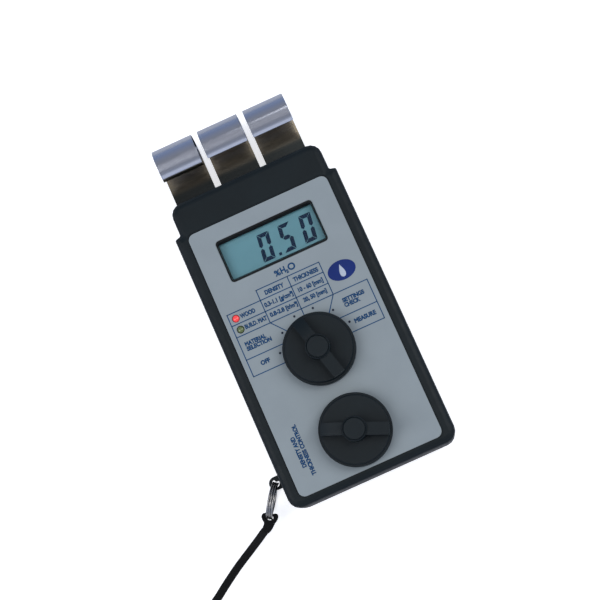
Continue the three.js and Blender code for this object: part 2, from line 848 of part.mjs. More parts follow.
// A flat ribbon from the potentiometer over the battery's edge to the board.
const potEnd = densityY + potRadius;
const ribbonEnd = Math.max(boardBottomY, potEnd) + 3.6;
add('potentiometer_ribbon', swept(ovalSection(7, 0.8, 8), [
  [0, potEnd + gap + 0.2, potBottom + 1.6],
  [0, Math.max(potEnd + 2.2, partitionY + 1), potBottom + 0.6],
  [0, ribbonEnd - 1.2, boardTop + 1.4],
  [0, ribbonEnd, boardTop + gap + 0.2],
], 8), finishes.greyWire);

// ---------------------------------------------------------------- electrodes
// The outline of a strip of even thickness along [y, z] points.
function stripOutline(line, thickness) {
  const points = line.map(([y, z]) => new THREE.Vector2(y, z));
  const offset = (sign) => points.map((p, i) => {
    const before = points[Math.max(i - 1, 0)];
    const after = points[Math.min(i + 1, points.length - 1)];
    const along = after.clone().sub(before).normalize();
    return new THREE.Vector2(-along.y, along.x).multiplyScalar((sign * thickness) / 2).add(p);
  });
  return [...offset(-1), ...offset(1).reverse()];
}

function electrode(x, lipLength) {
  const steps = 18;
  const middle = electrodeHeight + rollRadius;
  const line = [[rootY, electrodeHeight], [top, electrodeHeight]];
  for (let k = 0; k <= steps; k += 1) {
    const angle = THREE.MathUtils.degToRad(-90 + (k / steps) * (90 + rollEnd));
    line.push([rollY + rollRadius * Math.cos(angle), middle + rollRadius * Math.sin(angle)]);
  }
  if (lipLength > 0) {
    const [y, z] = line.at(-1);
    line.push([y - lipLength / 2, z - lipLength / 2], [y - lipLength * 0.7, z - lipLength]);
  }
  const strip = new THREE.ExtrudeGeometry(new THREE.Shape(stripOutline(line, electrodeThickness)), {
    depth: electrodeWidth,
    bevelEnabled: false,
  });
  // The outline's plane becomes YZ, and the width runs along X.
  strip.rotateX(Math.PI / 2).rotateZ(Math.PI / 2).translate(x - electrodeWidth / 2, 0, 0);
  return solid(strip);
}

const electrodeNames = ['left', 'middle', 'right'];
electrodeX.forEach((x, i) => {
  add(`electrode_${electrodeNames[i]}`, electrode(x, lipLengths[i]), finishes.stainless);
  add(`electrode_lead_${electrodeNames[i]}`, wire(0.6, [
    [x, rootY - gap - 0.1, electrodeHeight],
    [x, rootY - 2.6, electrodeHeight + 0.4],
    [x, boardTopY - 1.4, electrodeHeight + 4],
    [x, boardTopY - 2.4, boardBottom - gap],
  ], 6), finishes.greyWire);
});

const clampScrewX = [-0.5, 0.5].map((i) => i * electrodePitch + electrodeShift);
const clampEnd = headWidth / 2 - wall - clampSideGap - Math.abs(electrodeShift);
const clampBar = (z0, z1) => cut(
  box(electrodeShift - clampEnd, electrodeShift + clampEnd, pivotY - clampWidth / 2, pivotY + 2.5, z0, z1),
  ...clampScrewX.map((x) => cylinder(screwRadius + 0.1, 0, 40, x, pivotY, 12)),
);
const clampTop = clampBottom + clampThickness;
const leadNotches = electrodeX.map((x) => (
  box(x - 1, x + 1, pivotY - clampWidth, rootY, electrodeHeight - 1.4, clampTop + 1)
));
add('electrode_block', cut(clampBar(wall + gap, blockTop), ...leadNotches), finishes.nylon);
add('electrode_clamp', cut(clampBar(clampBottom, clampTop), ...leadNotches), finishes.nylon);

clampScrewX.forEach((x, i) => {
  const under = clampTop + gap;
  add(`clamp_screw_${i + 1}`, cut(
    join(
      cylinder(2.4, under, under + 1.8, x, pivotY, 12),
      cylinder(screwRadius - 0.2, wall + 2 * gap, under + hair, x, pivotY, 10),
    ),
    slottedHead(x, pivotY, under + 1.8),
  ), finishes.steel);
});

// ---------------------------------------------------------------- battery
const batteryEnd = batteryX + batterySize[0] / 2;
const terminalZ = (batteryTop + batteryBottom) / 2;

function terminal(radius, y) {
  return solid(new THREE.CylinderGeometry(radius, radius, terminalHeight + hair, 12)
    .rotateZ(Math.PI / 2)
    .translate(batteryEnd + (terminalHeight - hair) / 2, y, terminalZ));
}

add('battery', join(
  prism(
    roundedRectangle(batterySize[0], batterySize[1], 2, batteryX, batteryY, 3),
    batteryBottom,
    batteryTop,
  ),
  terminal(2.8, batteryY - 6.4),
  terminal(3.8, batteryY + 6.4),
), finishes.battery);

const snapX = batteryEnd + terminalHeight + gap;
add('battery_snap', box(
  snapX,
  snapX + snapThickness,
  batteryY - 11,
  batteryY + 11,
  terminalZ - 5.5,
  terminalZ + 5.5,
), finishes.blackWire);

function snapLead(apart) {
  const x = snapX + snapThickness / 2;
  return wire(0.7, [
    [x, batteryY + 11 + 2 * gap, terminalZ - apart],
    [x + 1.2 + apart / 2, partitionY + 0.8, lipTop + 0.4],
    [x + apart, boardBottomY + 2, boardBottom - 1.2],
    [x + apart, boardBottomY + 3.4, boardBottom - 2 * gap],
  ], 6);
}

add('snap_lead_red', snapLead(-2), finishes.redWire);
add('snap_lead_black', snapLead(2), finishes.blackWire);
add('battery_foam', box(
  -potRadius - 14,
  -potRadius - 2,
  batteryY - 10,
  batteryY + 10,
  batteryTop + gap,
  frontInside - gap,
), finishes.foam);

// ---------------------------------------------------------------- split ring and strap
const ring = new THREE.Group();
ring.position.set(ringX, ringY, lugHeight);
ring.rotation.z = heading;

function splitRing() {
  const [inner, outer] = [ringRadius - ringWire / 2, ringRadius + ringWire / 2];
  const half = ringWidth / 2;
  const geometry = new THREE.LatheGeometry([
    [inner, -half], [outer, -half], [outer, half], [inner, half], [inner, -half],
  ].map(([radius, across]) => new THREE.Vector2(radius, across)), 32);
  return solid(geometry);
}

add('split_ring', splitRing(), finishes.steel, ring);
meter.add(ring);

// The strap's folded end, an eye round the far side of the ring.
const tab = new THREE.Group();
tab.position.set(tabX, tabY, lugHeight);
tab.rotation.z = heading;
const [eyeAcross, eyeAlong, tabThickness] = [6.4, 5.4, 3.4];
add('strap_eye', cut(
  prism(roundedRectangle(eyeAlong, eyeAcross, 1.8, 0.6, 0), -tabThickness / 2, tabThickness / 2),
  prism(roundedRectangle(ringWire + 1.2, ringWidth + 1.2, 0.5, 0, 0), -5, 5),
), finishes.strap, tab);
meter.add(tab);

// The strap's stretch between its folded end and the coil, by its middle.
const strapExit = 4.6; // from the ring's wire to where the strap leaves its fold
const tailLength = 15;
const entryRadius = coilOuter - strapWidth / 2;
const strapPoints = [
  [tabX + strapExit * Math.cos(heading), tabY + strapExit * Math.sin(heading), lugHeight],
  [-57.4, -76.1, 8.3],
  [-61.4, -78.1, 5.2],
  [-67.6, -81.2, 1.9],
  [-75.4, -85.4, 1],
  [-83.4, -90.4, 1],
  [-90, -94.8, 1.1],
  [coilCentre[0] + tailLength + 3, coilCentre[1] + entryRadius, coilBase + strapThickness / 2],
  [coilCentre[0] + tailLength + gap, coilCentre[1] + entryRadius, coilBase + strapThickness / 2],
];
add('strap_cord', swept(ovalSection(strapThickness, strapWidth, 8), strapPoints, 16), finishes.strap);

const coilTop = coilBase + strapThickness;
add('strap_coil', join(
  cut(
    cylinder(coilOuter, coilBase, coilTop, ...coilCentre, 32),
    cylinder(coilInner, 0, 10, ...coilCentre, 32),
  ),
  box(
    coilCentre[0] + 8,
    coilCentre[0] + tailLength,
    coilCentre[1] + entryRadius - strapWidth / 2,
    coilCentre[1] + coilOuter - hair,
    coilBase,
    coilTop,
  ),
), finishes.strap);

function tieBand(inset) {
  const [clear, half] = [gap + tieWall - inset, tieWidth / 2 + inset];
  return box(coilInner - clear, coilOuter + clear, -half, half, coilBase - clear, coilTop + clear);
}
const tie = tieBand(0).subtract(tieBand(tieWall));
const tieGroup = new THREE.Group();
tieGroup.position.set(...coilCentre, 0);
tieGroup.rotation.z = THREE.MathUtils.degToRad(-40);
add('strap_tie', tie, finishes.strap, tieGroup);
meter.add(tieGroup);

const stopper = new THREE.CylinderGeometry(stopperRadius, stopperRadius, stopperLength, 16)
  .translate(coilCentre[0] - 6, coilCentre[1] + 2.7, stopperRadius + hair);
add('strap_stopper', solid(stopper), finishes.knob);

export default meter;
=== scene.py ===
import math

import bmesh
import bpy
from mathutils import Matrix, Vector


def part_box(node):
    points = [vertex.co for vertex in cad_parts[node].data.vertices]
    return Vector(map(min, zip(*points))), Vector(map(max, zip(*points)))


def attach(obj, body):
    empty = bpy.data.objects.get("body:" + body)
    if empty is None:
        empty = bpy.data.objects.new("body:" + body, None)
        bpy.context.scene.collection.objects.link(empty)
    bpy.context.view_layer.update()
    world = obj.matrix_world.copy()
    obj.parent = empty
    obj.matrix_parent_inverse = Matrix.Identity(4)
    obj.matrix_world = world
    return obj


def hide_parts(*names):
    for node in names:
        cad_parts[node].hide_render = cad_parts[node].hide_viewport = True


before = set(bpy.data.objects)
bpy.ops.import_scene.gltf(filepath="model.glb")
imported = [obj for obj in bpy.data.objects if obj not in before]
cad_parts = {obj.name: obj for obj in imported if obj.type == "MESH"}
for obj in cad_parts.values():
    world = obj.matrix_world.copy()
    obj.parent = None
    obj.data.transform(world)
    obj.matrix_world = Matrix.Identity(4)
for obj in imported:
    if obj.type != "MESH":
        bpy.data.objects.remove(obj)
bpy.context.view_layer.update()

MM = 0.001


# ------------------------------------------------------------------ places from the frame
def middle(node):
    """The middle of a CAD node's box, in millimetres."""
    low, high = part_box(node)
    return (low + high) / 2 / MM


def span(node):
    """The lowest and highest corners of a CAD node, in millimetres."""
    low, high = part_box(node)
    return low / MM, high / MM


label_top = span("front_label")[1].z
window_bottom = span("display_frame")[0].y
lcd_top = span("display_lcd")[1].z
selector = middle("selector_cap")
density = middle("density_cap")
ring_middle = middle("split_ring")
ring_heading = (middle("strap_eye") - ring_middle).xy.normalized()
ring_aside = Vector((-ring_heading.y, ring_heading.x))
ink = label_top + 0.01  # the printed artwork lies on the label's face


# ------------------------------------------------------------------ meshes
def piece(name, corners, faces):
    """A mesh object from corners in millimetres."""
    mesh = bpy.data.meshes.new(name)
    mesh.from_pydata([Vector(c) * MM for c in corners], [], faces)
    made = bpy.data.objects.new(name, mesh)
    bpy.context.scene.collection.objects.link(made)
    outward(made)
    return made


def outward(made):
    """Turns every face of a closed mesh outwards."""
    work = bmesh.new()
    work.from_mesh(made.data)
    bmesh.ops.recalc_face_normals(work, faces=work.faces)
    work.to_mesh(made.data)
    work.free()


def place(made, x=0.0, y=0.0, z=0.0, turn=0.0):
    """Moves a mesh's own corners, turned about Z by degrees first."""
    shift = Matrix.Translation(Vector((x, y, z)) * MM)
    made.data.transform(shift @ Matrix.Rotation(math.radians(turn), 4, "Z"))
    return made


def turned(name, profile, segments=96):
    """A solid of revolution about Z from (radius, height) points, closed on the axis or on itself."""
    corners, rows = [], []
    for radius, height in profile:
        if radius == 0:
            rows.append([len(corners)] * segments)
            corners.append((0, 0, height))
            continue
        rows.append(list(range(len(corners), len(corners) + segments)))
        for k in range(segments):
            angle = 2 * math.pi * k / segments
            corners.append((radius * math.cos(angle), radius * math.sin(angle), height))
    closed = profile[0][0] != 0
    pairs = list(zip(rows, rows[1:] + rows[:1] if closed else rows[1:]))
    faces = []
    for lower, upper in pairs:
        for k in range(segments):
            n = (k + 1) % segments
            ring = [lower[k], lower[n], upper[n], upper[k]]
            faces.append(list(dict.fromkeys(ring)))
    return piece(name, corners, [f for f in faces if len(f) > 2])


def prism(name, outline, low, high):
    """An outline of (x, y) points raised from one height to another."""
    count = len(outline)
    corners = [(x, y, low) for x, y in outline] + [(x, y, high) for x, y in outline]
    sides = [(k, (k + 1) % count, count + (k + 1) % count, count + k) for k in range(count)]
    return piece(name, corners, [tuple(range(count)), tuple(range(count, 2 * count)), *sides])


def merged(name, parts):
    """Several meshes as one object."""
    work = bmesh.new()
    for part in parts:
        work.from_mesh(part.data)
        bpy.data.objects.remove(part)
    mesh = bpy.data.meshes.new(name)
    work.to_mesh(mesh)
    work.free()
    made = bpy.data.objects.new(name, mesh)
    bpy.context.scene.collection.objects.link(made)
    outward(made)
    return made


def combine(target, tool, operation):
    """Joins a tool to a mesh or cuts it out, and drops the tool."""
    modifier = target.modifiers.new("combine", "BOOLEAN")
    modifier.operation, modifier.object, modifier.solver = operation, tool, "EXACT"
    made = bpy.data.meshes.new_from_object(target.evaluated_get(bpy.context.evaluated_depsgraph_get()))
    target.modifiers.clear()
    target.data = made
    bpy.data.objects.remove(tool)


def soften(made, width, segments=2, angle=35):
    """Rounds the sharp edges over a width in millimetres, and shades the rest smooth."""
    modifier = made.modifiers.new("soften", "BEVEL")
    modifier.width, modifier.segments = width * MM, segments
    modifier.limit_method, modifier.angle_limit = "ANGLE", math.radians(angle)
    modifier.harden_normals = True
    smooth(made, angle)
    return made


def smooth(made, angle=35):
    """Shades a mesh smooth, apart from edges sharper than an angle in degrees."""
    made.data.shade_smooth()
    made.data.set_sharp_from_angle(angle=math.radians(angle))
    return made


def curved(points, steps):
    """A smooth line through points, as a list of Vectors with even steps from point to point."""
    points = [Vector(p) for p in points]
    padded = [2 * points[0] - points[1], *points, 2 * points[-1] - points[-2]]
    line = []
    for a, b, c, d in zip(padded, padded[1:], padded[2:], padded[3:]):
        for k in range(steps):
            t = k / steps
            line.append(0.5 * (2 * b + (c - a) * t + (2 * a - 5 * b + 4 * c - d) * t * t
                               + (3 * b - a - 3 * c + d) * t ** 3))
    return [*line, points[-1]]


def clamped(value):
    """The value, held between 0 and 1."""
    return max(0.0, min(1.0, value))


def direction(angle):
    """A level direction, from an angle in radians."""
    return Vector((math.cos(angle), math.sin(angle), 0))


def ellipse(centre, half_x, half_y, sides):
    """An ellipse's (x, y) points."""
    angles = (2 * math.pi * k / sides for k in range(sides))
    return [(centre[0] + half_x * math.cos(a), centre[1] + half_y * math.sin(a)) for a in angles]


def boxy_oval(across, high, sides, power):
    """A section's points, the boxier the further its power is under 1."""
    def bent(value):
        return math.copysign(abs(value) ** power, value)
    angles = [2 * math.pi * (k + 0.5) / sides for k in range(sides)]
    return [(bent(math.cos(a)) * across / 2, bent(math.sin(a)) * high / 2) for a in angles]


def swept(name, path, section):
    """A section of (sideways, upwards) points carried along a path that keeps roughly level.
    Its UVs run along the path and round the section in millimetres."""
    count, sides = len(path), len(section)
    corners, along = [], [0.0]
    for before, point, after in zip([path[0], *path], path, [*path[1:], path[-1]]):
        tangent = (after - before).normalized()
        aside = tangent.cross(Vector((0, 0, 1))).normalized()
        rise = aside.cross(tangent)
        corners += [point + aside * a + rise * b for a, b in section]
        along.append(along[-1] + (after - point).length)
    faces = []
    for i in range(count - 1):
        for k in range(sides):
            n = (k + 1) % sides
            faces.append((i * sides + k, i * sides + n, (i + 1) * sides + n, (i + 1) * sides + k))
    faces += [tuple(range(sides)), tuple(range((count - 1) * sides, count * sides))]
    made = piece(name, corners, faces)
    around = [0.0]
    for k in range(sides):
        around.append(around[-1] + (Vector(section[(k + 1) % sides]) - Vector(section[k])).length)
    layer = made.data.uv_layers.new(name="strip")
    for face in made.data.polygons:
        rows, ks = zip(*(divmod(made.data.loops[i].vertex_index, sides) for i in face.loop_indices))
        for i, k, row in zip(face.loop_indices, ks, rows):
            turn = sides if k == 0 and max(ks) == sides - 1 else k
            layer.data[i].uv = (along[row], around[turn])
    return smooth(made)


# ------------------------------------------------------------------ materials
TAN = 0.45  # where the painted shade is tan, between bright steel at 0 and dark steel at 1


def material(name, color, roughness, metallic=0.0, **sockets):
    """A Principled material. A further socket is named with _ for each space."""
    made = bpy.data.materials.new(name)
    made.use_nodes = True
    shader = made.node_tree.nodes["Principled BSDF"]
    shader.inputs["Base Color"].default_value = (*color, 1)
    shader.inputs["Roughness"].default_value = roughness
    shader.inputs["Metallic"].default_value = metallic
    for socket, value in sockets.items():
        shader.inputs[socket.replace("_", " ")].default_value = value
    return made


def node(made, kind, **values):
    """A new node, with values for its inputs or its settings."""
    new = made.node_tree.nodes.new(kind)
    for key, value in values.items():
        if key in new.inputs:
            new.inputs[key].default_value = value
        else:
            setattr(new, key, value)
    return new


def link(made, source, target):
    made.node_tree.links.new(source, target)


def noise(made, size, detail=3.0, stretch=(1, 1, 1)):
    """A noise of one grain size in millimetres, fixed to the piece. Returns its 0 to 1 output."""
    place_on = node(made, "ShaderNodeTexCoord")
    scaled = node(made, "ShaderNodeMapping")
    scaled.inputs["Scale"].default_value = stretch
    texture = node(made, "ShaderNodeTexNoise", Scale=1 / (size * MM), Detail=detail)
    link(made, place_on.outputs["Object"], scaled.inputs["Vector"])
    link(made, scaled.outputs["Vector"], texture.inputs["Vector"])
    return texture.outputs["Fac"]


def bumped(made, height, depth):
    """Adds a bump of a depth in millimetres, on top of any that the material has."""
    shader = made.node_tree.nodes["Principled BSDF"]
    bump = node(made, "ShaderNodeBump", Distance=depth * MM)
    if shader.inputs["Normal"].is_linked:
        link(made, shader.inputs["Normal"].links[0].from_socket, bump.inputs["Normal"])
    link(made, height, bump.inputs["Height"])
    link(made, bump.outputs["Normal"], shader.inputs["Normal"])


def ranged(made, value, low, high):
    """Spreads a noise, most of which lies between 0.3 and 0.7, over a range."""
    spread = node(made, "ShaderNodeMapRange")
    spread.inputs["From Min"].default_value, spread.inputs["From Max"].default_value = 0.3, 0.7
    spread.inputs["To Min"].default_value, spread.inputs["To Max"].default_value = low, high
    link(made, value, spread.inputs["Value"])
    return spread.outputs["Result"]


def mottled(made, value, low, high):
    """Varies the base colour between two colours."""
    mix = node(made, "ShaderNodeMix", data_type="RGBA")
    factor, first, second, result = mix.inputs[0], mix.inputs[6], mix.inputs[7], mix.outputs[2]
    first.default_value, second.default_value = (*low, 1), (*high, 1)
    link(made, value, factor)
    link(made, result, made.node_tree.nodes["Principled BSDF"].inputs["Base Color"])


def scaled_color(color, factor):
    return tuple(c * factor for c in color)


def moulded(name, color, roughness, grain=0.35, depth=0.012, change=0.12):
    """Moulded plastic: a fine spark-eroded grain, and a slow change of tone and gloss."""
    made = material(name, color, roughness, Specular_IOR_Level=0.2)
    bumped(made, noise(made, grain), depth)
    slow = ranged(made, noise(made, 14, 4.0), 0, 1)
    mottled(made, slow, scaled_color(color, 1 - change), scaled_color(color, 1 + change))
    fine = ranged(made, noise(made, 3, 5.0), roughness - 0.05, roughness + 0.05)
    link(made, fine, made.node_tree.nodes["Principled BSDF"].inputs["Roughness"])
    return made


def metal(name, color, roughness, brush=(1, 40, 1), depth=0.004):
    """Metal with fine marks, closer together along the axis where brush is larger."""
    made = material(name, color, roughness, 1.0)
    marks = noise(made, 2.0, 6.0, brush)
    bumped(made, marks, depth)
    spread = ranged(made, marks, roughness * 0.8, roughness * 1.25)
    link(made, spread, made.node_tree.nodes["Principled BSDF"].inputs["Roughness"])
    slow = ranged(made, noise(made, 9, 4.0), 0, 1)
    mottled(made, slow, scaled_color(color, 0.9), scaled_color(color, 1.06))
    return made


def webbing(name, color, rib=0.55):
    """Woven nylon: ribs that cross on the slant, with a soft sheen, and painted shade down between the
    ribs.
    """
    made = material(name, color, 0.85, Sheen_Weight=0.05, Sheen_Roughness=0.5, Specular_IOR_Level=0.15)
    place_on = node(made, "ShaderNodeTexCoord")
    heights = []
    for angle in (45, -45):
        scaled = node(made, "ShaderNodeMapping")
        scaled.inputs["Rotation"].default_value = (0, 0, math.radians(angle))
        wave = node(made, "ShaderNodeTexWave", Scale=1 / rib, Distortion=0.6, Detail=1.0)
        link(made, place_on.outputs["UV"], scaled.inputs["Vector"])
        link(made, scaled.outputs["Vector"], wave.inputs["Vector"])
        heights.append(wave.outputs["Fac"])
    both = node(made, "ShaderNodeMath", operation="MAXIMUM")
    link(made, heights[0], both.inputs[0])
    link(made, heights[1], both.inputs[1])
    bumped(made, both.outputs["Value"], 0.18)
    bumped(made, noise(made, 0.12), 0.03)
    # painted shade: the colour follows the ribs' height, darker in the hollows between them and lighter on
    # their tops
    mottled(made, both.outputs["Value"], scaled_color(color, 0.35), scaled_color(color, 1.3))
    return made


def rolled_steel(name):
    """Bright spring strip: fine rolling marks, and flat legs darkened by painted shade, with a painted tan
    reflection of the roll where they run under it.
    """
    bright, tan, dark = (0.45, 0.475, 0.545), (0.40, 0.34, 0.245), (0.034, 0.038, 0.037)
    made = material(name, bright, 0.2, 1.0)
    shader = made.node_tree.nodes["Principled BSDF"]
    marks = noise(made, 1.5, 3.0, (0.3, 3, 3))
    bumped(made, marks, 0.001)
    link(made, ranged(made, marks, 0.19, 0.24), shader.inputs["Roughness"])
    # painted shade and reflection: this colour layer darkens the legs and tints them tan under the roll
    layer = node(made, "ShaderNodeVertexColor", layer_name="painted_shade")
    ramp = node(made, "ShaderNodeValToRGB")
    ramp.color_ramp.elements[0].color = (*bright, 1)
    ramp.color_ramp.elements[1].color = (*dark, 1)
    ramp.color_ramp.elements.new(TAN).color = (*tan, 1)
    link(made, layer.outputs["Color"], ramp.inputs["Fac"])
    link(made, ramp.outputs["Color"], shader.inputs["Base Color"])
    return made


looks = {
    "case": moulded("case", (0.0035, 0.0078, 0.0100), 0.5),
    "knob": moulded("knob", (0.0030, 0.0075, 0.0100), 0.45, grain=0.25, depth=0.006),
    "label": moulded("label", (0.252, 0.290, 0.305), 0.6, grain=0.5, depth=0.004, change=0.03),
    "bezel": moulded("bezel", (0.0045, 0.0055, 0.0060), 0.38, depth=0.003),
    "print": moulded("print", (0.003, 0.048, 0.135), 0.45, depth=0.002),
    "dots": moulded("dots", (0.008, 0.014, 0.030), 0.45, depth=0.002),
    "badge": moulded("badge", (0.004, 0.020, 0.140), 0.35, depth=0.002),
    "drop": moulded("drop", (0.42, 0.47, 0.55), 0.4, depth=0.002, change=0.03),
    "lcd": moulded("lcd", (0.165, 0.320, 0.375), 0.33, grain=0.8, depth=0.001, change=0.06),
    "digits": moulded("digits", (0.001, 0.014, 0.045), 0.4, depth=0.001),
    "lamp_red": material("lamp_red", (0.80, 0.055, 0.055), 0.25, Emission_Color=(1, 0.07, 0.06, 1),
                         Emission_Strength=0.25, Coat_Weight=0.5),
    "lamp_green": material("lamp_green", (0.105, 0.14, 0.045), 0.25, Coat_Weight=0.5),
    "steel": metal("steel", (0.55, 0.56, 0.58), 0.3),
    "ring": metal("ring", (0.34, 0.33, 0.32), 0.25, brush=(1, 1, 1), depth=0.002),
    "stainless": rolled_steel("stainless"),
    "brass": metal("brass", (0.62, 0.45, 0.16), 0.3),
    "strap": webbing("strap", (0.0045, 0.0045, 0.0048)),
    "nylon": moulded("nylon", (0.75, 0.72, 0.62), 0.55),
    "board": moulded("board", (0.02, 0.16, 0.06), 0.35, grain=2.0, depth=0.02),
    "chip": moulded("chip", (0.010, 0.011, 0.013), 0.5),
    "housing": moulded("housing", (0.03, 0.05, 0.11), 0.5),
    "battery": moulded("battery", (0.03, 0.035, 0.045), 0.35, depth=0.003),
    "foam": moulded("foam", (0.05, 0.05, 0.055), 0.95, grain=0.6, depth=0.15),
    "elastomer": moulded("elastomer", (0.60, 0.25, 0.32), 0.7),
    "red_wire": moulded("red_wire", (0.45, 0.02, 0.02), 0.5),
    "black_wire": moulded("black_wire", (0.010, 0.010, 0.010), 0.5),
    "grey_wire": moulded("grey_wire", (0.20, 0.21, 0.22), 0.5),
}


def clear_pane():
    """Clear acrylic: what lies under it shows through, and its face reflects at a slant."""
    made = bpy.data.materials.new("clear")
    made.use_nodes = True
    made.node_tree.nodes.clear()
    output = node(made, "ShaderNodeOutputMaterial")
    mix = node(made, "ShaderNodeMixShader")
    gloss = node(made, "ShaderNodeBsdfGlossy", Roughness=0.06)
    through = node(made, "ShaderNodeBsdfTransparent", Color=(0.94, 0.97, 0.97, 1))
    slant = node(made, "ShaderNodeFresnel", IOR=1.2)
    link(made, slant.outputs["Fac"], mix.inputs[0])
    link(made, through.outputs["BSDF"], mix.inputs[1])
    link(made, gloss.outputs["BSDF"], mix.inputs[2])
    link(made, mix.outputs["Shader"], output.inputs["Surface"])
    return made


looks["clear"] = clear_pane()


def dress(made, look):
    """Gives a piece one of the looks in place of its materials."""
    made.data.materials.clear()
    made.data.materials.append(looks[look])
    return made


def finished(made, look, body, slot, *nodes):
    """Gives a piece its look and its body, and hides the CAD nodes that it stands for. Its slot is not
    used.
    """
    dress(made, look)
    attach(made, body)
    if nodes:
        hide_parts(*nodes)
    return made


# ------------------------------------------------------------------ camera, lights and floor
def set_camera():
    """The camera, nearly straight above the case and turned about its own axis."""
    stand = Vector((21.6, -99.1, 689.3))
    data = bpy.data.cameras.new("camera")
    data.lens, data.sensor_width = 90, 36
    data.clip_start, data.clip_end = 0.01, 20
    camera = bpy.data.objects.new("camera", data)
    right = Vector((0.9104, -0.4025, -0.0954)).normalized()
    back = Vector((0.0310, -0.1636, 0.9860))
    up = back.cross(right).normalized()
    back = right.cross(up)
    axes = Matrix((right, up, back)).transposed().to_4x4()
    camera.matrix_world = Matrix.Translation(stand * MM) @ axes
    bpy.context.scene.collection.objects.link(camera)
    bpy.context.scene.camera = camera


def add_lamp(name, stand, size, power, target=(0, 0, 10)):
    """A soft box of a size in millimetres, turned towards a target on the object."""
    data = bpy.data.lights.new(name, "AREA")
    data.shape, data.size, data.size_y = "RECTANGLE", size[0] * MM, size[1] * MM
    data.energy = power
    lamp = bpy.data.objects.new(name, data)
    lamp.location = Vector(stand) * MM
    lamp.rotation_euler = (Vector(target) - Vector(stand)).to_track_quat("-Z", "Y").to_euler()
    bpy.context.scene.collection.objects.link(lamp)


def set_world():
    """A soft dome, bluish towards the horizon and greyer overhead. The camera itself sees it white."""
    world = bpy.data.worlds.new("world")
    bpy.context.scene.world = world
    world.use_nodes = True
    world.node_tree.nodes.clear()
    output = node(world, "ShaderNodeOutputWorld")
    sky = node(world, "ShaderNodeBackground", Strength=1.0)
    seen = node(world, "ShaderNodeBackground", Color=(1, 1, 1, 1), Strength=1.0)
    mix = node(world, "ShaderNodeMixShader")
    rays = node(world, "ShaderNodeLightPath")
    place_on = node(world, "ShaderNodeTexCoord")
    split = node(world, "ShaderNodeSeparateXYZ")
    height = node(world, "ShaderNodeValToRGB")
    stops = height.color_ramp
    stops.elements[0].position, stops.elements[0].color = 0.0, (0.42, 0.50, 0.68, 1)
    stops.elements[1].position, stops.elements[1].color = 1.0, (0.27, 0.27, 0.30, 1)
    stops.elements.new(0.40).color = (0.30, 0.37, 0.55, 1)
    stops.elements.new(0.80).color = (0.36, 0.38, 0.44, 1)
    link(world, place_on.outputs["Generated"], split.inputs["Vector"])
    link(world, split.outputs["Z"], height.inputs["Fac"])
    link(world, height.outputs["Color"], sky.inputs["Color"])
    link(world, rays.outputs["Is Camera Ray"], mix.inputs[0])
    link(world, sky.outputs["Background"], mix.inputs[1])
    link(world, seen.outputs["Background"], mix.inputs[2])
    link(world, mix.outputs["Shader"], output.inputs["Surface"])


def set_floor():
    """A pale table, with a glow that only the camera sees, so that it comes out white."""
    half, height, glow_strength = 4000, -0.1, 0.68
    square = [(-half, -half, 0), (half, -half, 0), (half, half, 0), (-half, half, 0)]
    floor = piece("floor", square, [(0, 1, 2, 3)])
    place(floor, z=height)
    paper = material("paper", (0.7, 0.71, 0.73), 0.7)
    bumped(paper, noise(paper, 1.5), 0.01)
    shader = paper.node_tree.nodes["Principled BSDF"]
    output = paper.node_tree.nodes["Material Output"]
    rays = node(paper, "ShaderNodeLightPath")
    glow = node(paper, "ShaderNodeEmission", Color=(1, 1, 1, 1), Strength=glow_strength)
    both = node(paper, "ShaderNodeAddShader")
    mix = node(paper, "ShaderNodeMixShader")
    link(paper, shader.outputs["BSDF"], both.inputs[0])
    link(paper, glow.outputs["Emission"], both.inputs[1])
    link(paper, rays.outputs["Is Camera Ray"], mix.inputs[0])
    link(paper, shader.outputs["BSDF"], mix.inputs[1])
    link(paper, both.outputs["Shader"], mix.inputs[2])
    link(paper, mix.outputs["Shader"], output.inputs["Surface"])
    floor.data.materials.append(paper)


set_camera()
set_world()
set_floor()
add_lamp("overhead", (150, 365, 950), (220, 90), 0.22, target=(0, 60, 10))
add_lamp("left", (-620, -40, 880), (460, 900), 4.35)
add_lamp("right", (620, 40, 880), (460, 900), 4.55)
add_lamp("near", (0, -950, 650), (900, 500), 0.8)
add_lamp("above", (0, 0, 1200), (1300, 900), 0.5)
bpy.context.scene.view_settings.view_transform = "Standard"


# ------------------------------------------------------------------ strap
STRAP_WIDTH, STRAP_THICKNESS = 3.7, 1.6
RING_RADIUS = 7.9  # from the ring's middle to its lug, and to the strap's fold
FOLD_REACH = 12.5  # from the ring's middle to where the strap leaves its fold
COIL_MIDDLE = Vector((-113, -120, 1.5))
FIRST_RADIUS, TURN_SPACING, COIL_SWEEP = 22.55, 3.8, math.radians(708.5)
END_BEND = 7.5
fold_end = Vector((*(ring_middle.xy + ring_heading * FOLD_REACH), ring_middle.z))


def coil_radius(swing):
    """How far the strap's middle is from the coil's, after turning through an angle."""
    return FIRST_RADIUS - TURN_SPACING * swing / (2 * math.pi)


